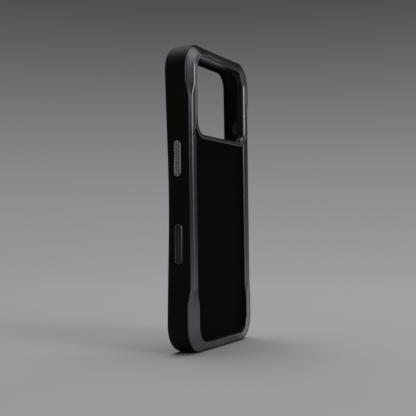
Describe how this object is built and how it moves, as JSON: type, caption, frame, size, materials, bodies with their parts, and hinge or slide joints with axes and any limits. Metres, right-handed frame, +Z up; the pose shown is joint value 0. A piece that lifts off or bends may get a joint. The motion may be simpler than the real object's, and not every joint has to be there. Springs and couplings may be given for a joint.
{
  "type": "phone case",
  "caption": "Rugged slim phone case with a soft bumper shell, flat black back, metal edge trims with corner guards, a raised camera ring and press-through side buttons.",
  "frame": {"origin": "centre of the bottom edge, on the surface that the upright case stands on", "axes": "+X to the right seen from the decorated back, +Y from the back towards the screen opening, +Z up to the camera end"},
  "size_m": [0.0834, 0.0144, 0.1564],
  "materials": {
    "bumper_rubber": "matte, fine moulded texture",
    "hard_black": "matte",
    "panel_black": "matte, very fine grain",
    "gunmetal": "satin bead-blasted dark anodise",
    "button_metal": "knurled, machined edges",
    "grey_plastic": "satin",
    "lining_cloth": "short-nap microfibre",
    "magnet_metal": "nickel plated"
  },
  "bodies": {
    "case": {"bumper_shell": "bumper_rubber", "back_carrier": "hard_black", "back_panel": "panel_black", "lining": "lining_cloth", "trim_frame_left": "gunmetal", "trim_frame_right": "gunmetal", "top_strip": "gunmetal", "bottom_strip": "gunmetal", "camera_ring": "gunmetal", "strap_eyelet": "grey_plastic", "camera_control_bezel": "grey_plastic", "ring_magnet_01": "magnet_metal", "ring_magnet_02": "magnet_metal", "ring_magnet_03": "magnet_metal", "ring_magnet_04": "magnet_metal", "ring_magnet_05": "magnet_metal", "ring_magnet_06": "magnet_metal", "ring_magnet_07": "magnet_metal", "ring_magnet_08": "magnet_metal", "ring_magnet_09": "magnet_metal", "ring_magnet_10": "magnet_metal", "ring_magnet_11": "magnet_metal", "ring_magnet_12": "magnet_metal", "ring_magnet_13": "magnet_metal", "ring_magnet_14": "magnet_metal", "ring_magnet_15": "magnet_metal", "ring_magnet_16": "magnet_metal", "alignment_magnet": "magnet_metal"},
    "power_button": {"power_button_cap": "button_metal", "power_button_plunger": "grey_plastic"},
    "camera_control_button": {"camera_control_button_cap": "grey_plastic", "camera_control_button_plunger": "grey_plastic"},
    "action_button": {"action_button_cap": "button_metal", "action_button_plunger": "grey_plastic"},
    "volume_up_button": {"volume_up_button_cap": "button_metal", "volume_up_button_plunger": "grey_plastic"},
    "volume_down_button": {"volume_down_button_cap": "button_metal", "volume_down_button_plunger": "grey_plastic"}
  },
  "joints": [
    {"name": "power_press", "type": "slide", "parent": "case", "child": "power_button", "axis": [1, 0, 0], "range_m": [0, 0.0003], "stiffness_N_per_m": 1500, "springref_m": -0.0002},
    {"name": "camera_control_press", "type": "slide", "parent": "case", "child": "camera_control_button", "axis": [1, 0, 0], "range_m": [0, 0.00015], "stiffness_N_per_m": 1500, "springref_m": -0.0002},
    {"name": "action_press", "type": "slide", "parent": "case", "child": "action_button", "axis": [-1, 0, 0], "range_m": [0, 0.0003], "stiffness_N_per_m": 1500, "springref_m": -0.0002},
    {"name": "volume_up_press", "type": "slide", "parent": "case", "child": "volume_up_button", "axis": [-1, 0, 0], "range_m": [0, 0.0003], "stiffness_N_per_m": 1500, "springref_m": -0.0002},
    {"name": "volume_down_press", "type": "slide", "parent": "case", "child": "volume_down_button", "axis": [-1, 0, 0], "range_m": [0, 0.0003], "stiffness_N_per_m": 1500, "springref_m": -0.0002}
  ]
}
